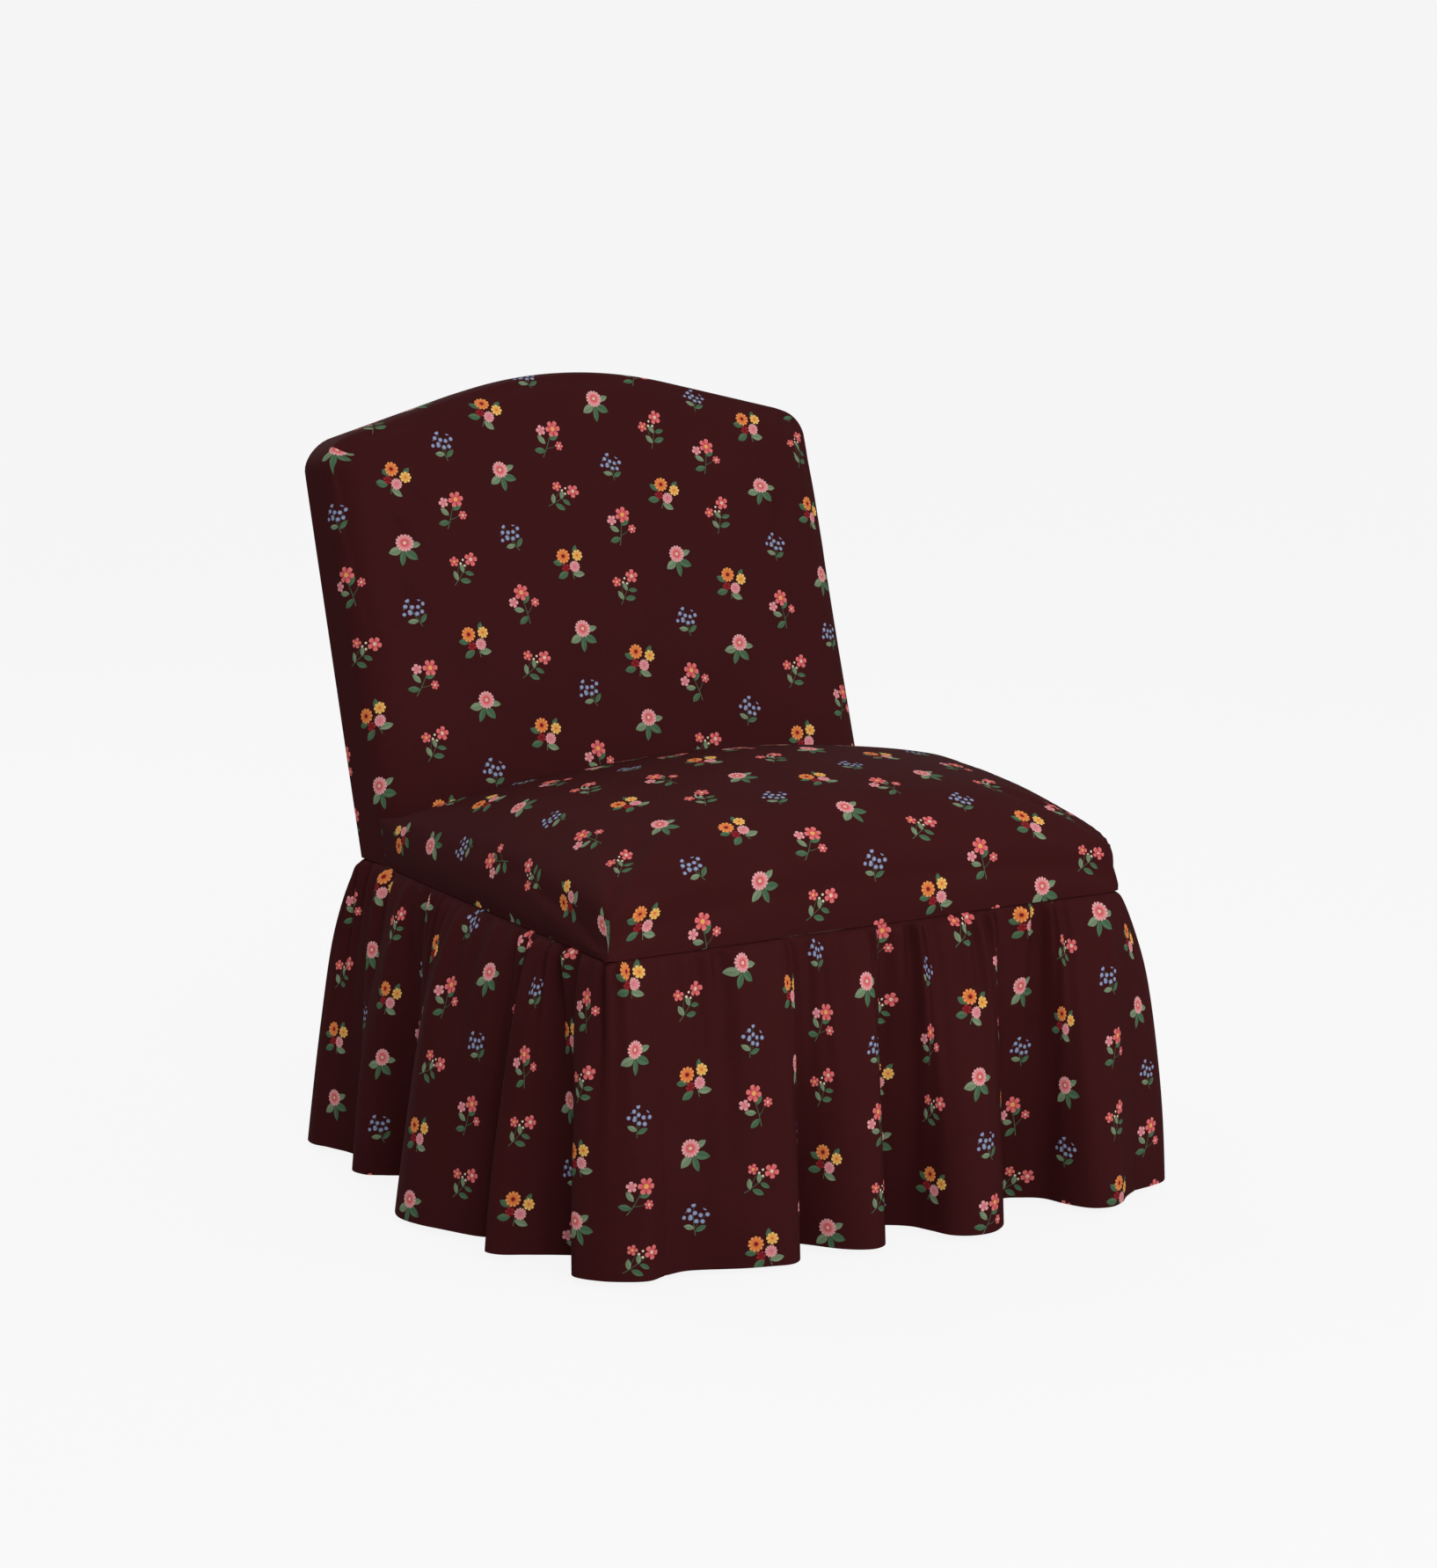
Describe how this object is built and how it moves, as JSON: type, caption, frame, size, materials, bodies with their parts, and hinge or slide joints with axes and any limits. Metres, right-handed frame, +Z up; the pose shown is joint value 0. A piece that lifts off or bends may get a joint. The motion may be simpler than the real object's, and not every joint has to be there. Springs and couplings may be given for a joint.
{
  "type": "slipper chair",
  "caption": "Low armless chair with a raked camel-top back, a domed tight seat and a gathered skirt to the floor, with its frame, springs, padding and covers as separate pieces.",
  "frame": {"origin": "on the floor below the middle of the whole chair's box", "axes": "+X to the right as seen from the front, +Y from the front to the back, +Z up; the seat faces -Y"},
  "size_m": [0.7685, 0.7913, 0.8677],
  "materials": {
    "printed_cloth": "woven, soft sheen, floral print",
    "frame_timber": "sawn hardwood",
    "plywood": "sawn plywood",
    "leg_timber": "dark stained",
    "zinc_steel": "zinc plated",
    "spring_steel": "oiled",
    "nylon": "matte",
    "foam": "open-cell foam",
    "batting": "bonded fibre",
    "deck_cloth": "plain jute weave",
    "webbing": "jute webbing",
    "chipboard": "pressed card",
    "cambric": "thin non-woven"
  },
  "bodies": {
    "root": {"back_batting": "batting", "back_board": "chipboard", "back_foam": "foam", "back_left_corner_block": "frame_timber", "back_left_leg": "leg_timber", "back_lining": "deck_cloth", "back_rail": "frame_timber", "back_right_corner_block": "frame_timber", "back_right_leg": "leg_timber", "back_tack_bars": "zinc_steel", "back_webbing": "webbing", "corner_block_screws": "zinc_steel", "crest_rail": "plywood", "deck_cloth": "deck_cloth", "dust_cover": "cambric", "dust_cover_staples": "zinc_steel", "front_edge_roll": "foam", "front_left_corner_block": "frame_timber", "front_left_leg": "leg_timber", "front_rail": "frame_timber", "front_right_corner_block": "frame_timber", "front_right_leg": "leg_timber", "inside_back_cover": "printed_cloth", "left_back_post": "frame_timber", "left_rail": "frame_timber", "leg_bolts": "zinc_steel", "leg_glides": "nylon", "outside_back_cover": "printed_cloth", "outside_back_pad": "batting", "rail_dowels": "frame_timber", "right_back_post": "frame_timber", "right_rail": "frame_timber", "seat_batting": "batting", "seat_brace": "frame_timber", "seat_cover": "printed_cloth", "seat_foam": "foam", "seat_springs": "spring_steel", "skirt_back": "printed_cloth", "skirt_front": "printed_cloth", "skirt_left": "printed_cloth", "skirt_right": "printed_cloth", "skirt_tack_strips": "chipboard", "spring_clips": "zinc_steel", "spring_tie_wires": "spring_steel", "stay_rail": "frame_timber", "tee_nuts": "zinc_steel"}
  },
  "joints": []
}
